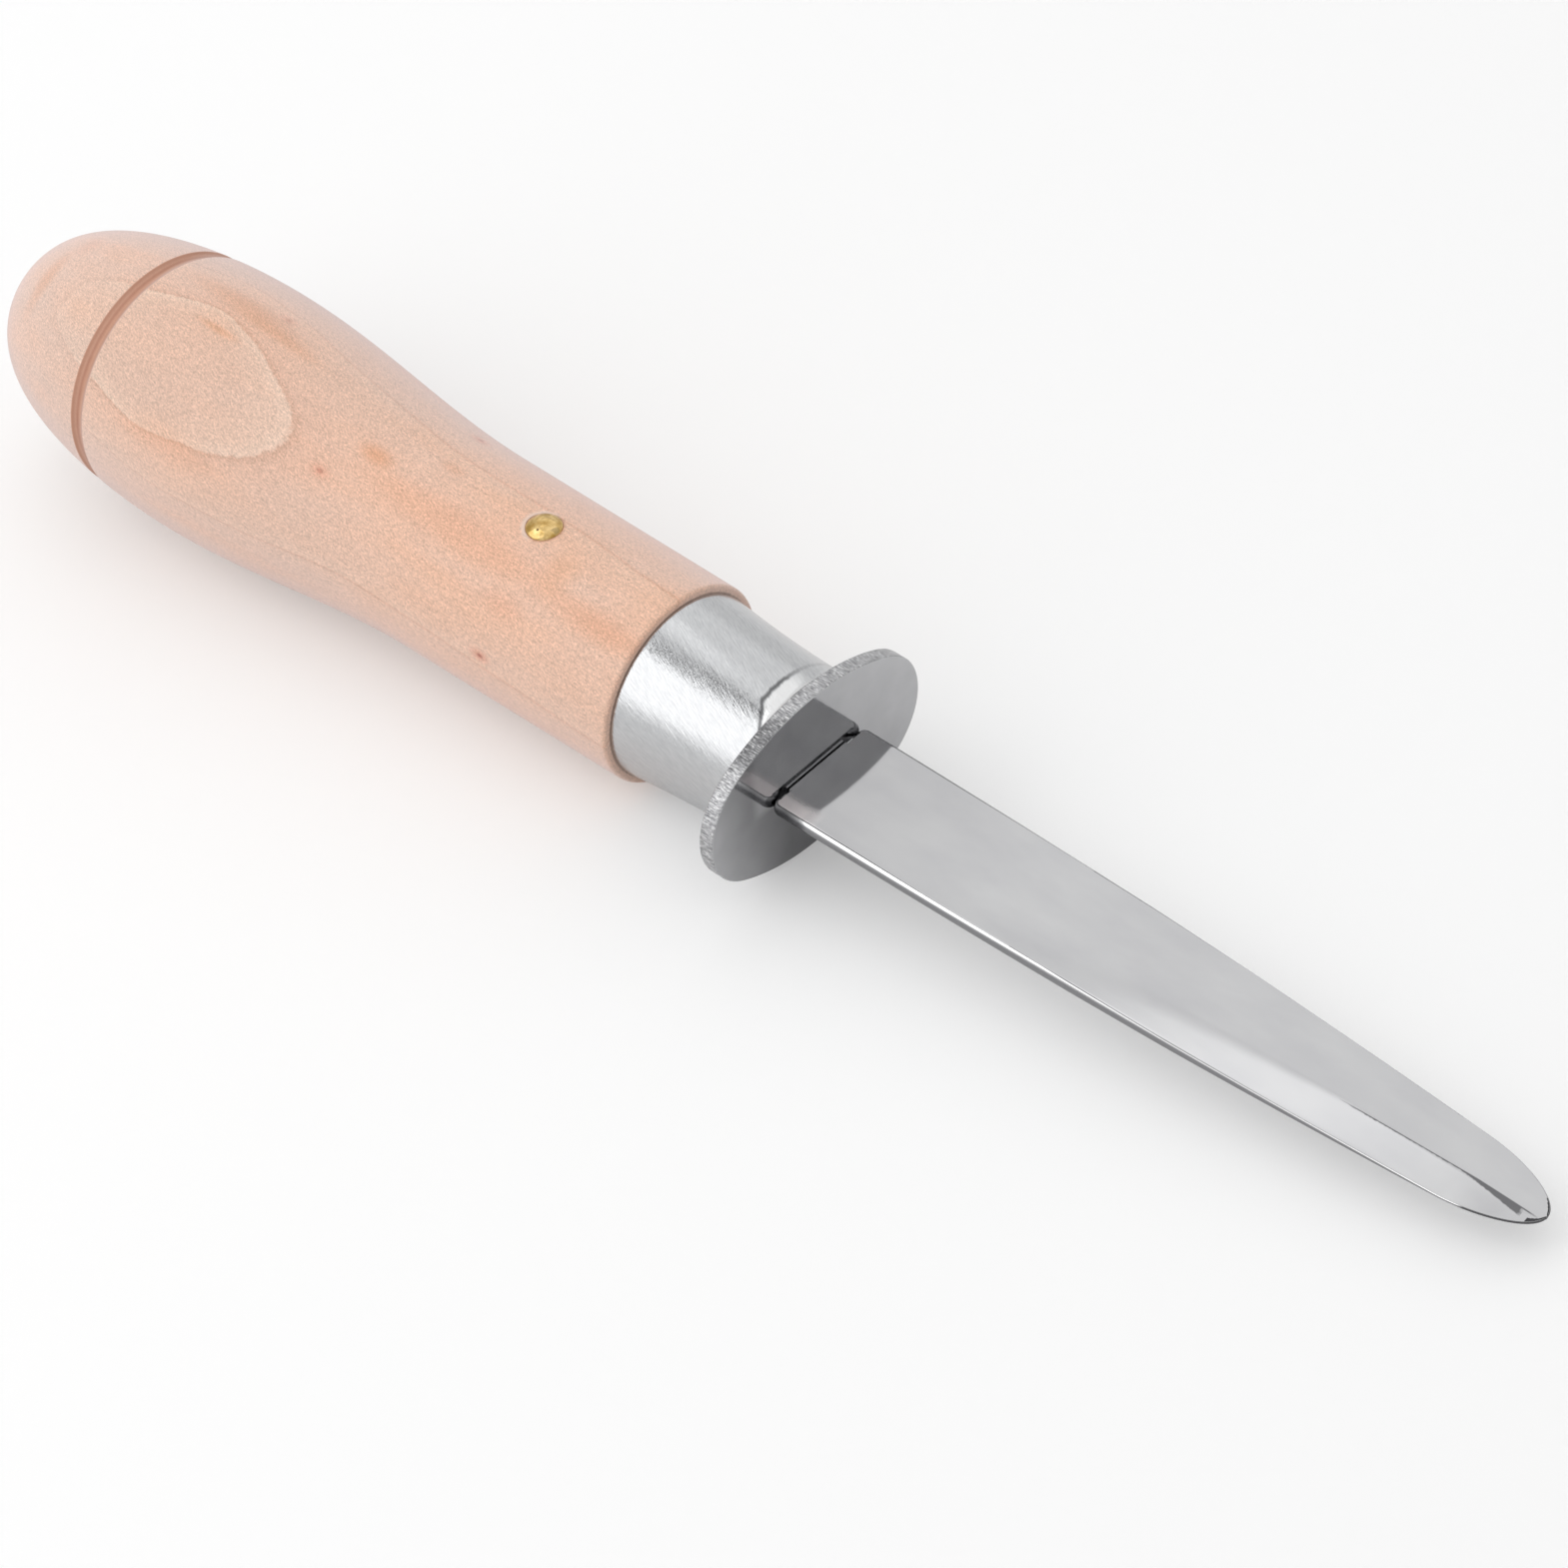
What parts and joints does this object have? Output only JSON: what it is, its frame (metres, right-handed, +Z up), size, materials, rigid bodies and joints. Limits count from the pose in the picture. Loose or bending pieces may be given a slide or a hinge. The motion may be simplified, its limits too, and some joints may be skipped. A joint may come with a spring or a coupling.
{
  "type": "oyster knife",
  "caption": "Oyster knife with a turned wooden handle, a steel ferrule, an oval guard plate and a blunt blade with a rounded tip.",
  "frame": {"origin": "under the middle of the knife's length, on the knife's mid plane, level with the lowest point of the handle's belly", "axes": "+X from the butt to the blade's tip, +Y across the blade's width, +Z up, square to the blade's flat"},
  "size_m": [0.1946, 0.0294, 0.0276],
  "materials": {
    "handle_wood": "turned and sanded, unfinished",
    "ferrule_steel": "brushed",
    "guard_steel": "polished faces, sheared rim",
    "blade_steel": "satin polished",
    "pin_brass": "polished",
    "tang_resin": "cast resin"
  },
  "bodies": {
    "root": {"handle": "handle_wood", "ferrule": "ferrule_steel", "guard": "guard_steel", "blade": "blade_steel", "pin": "pin_brass", "tang_cement": "tang_resin"}
  },
  "joints": []
}
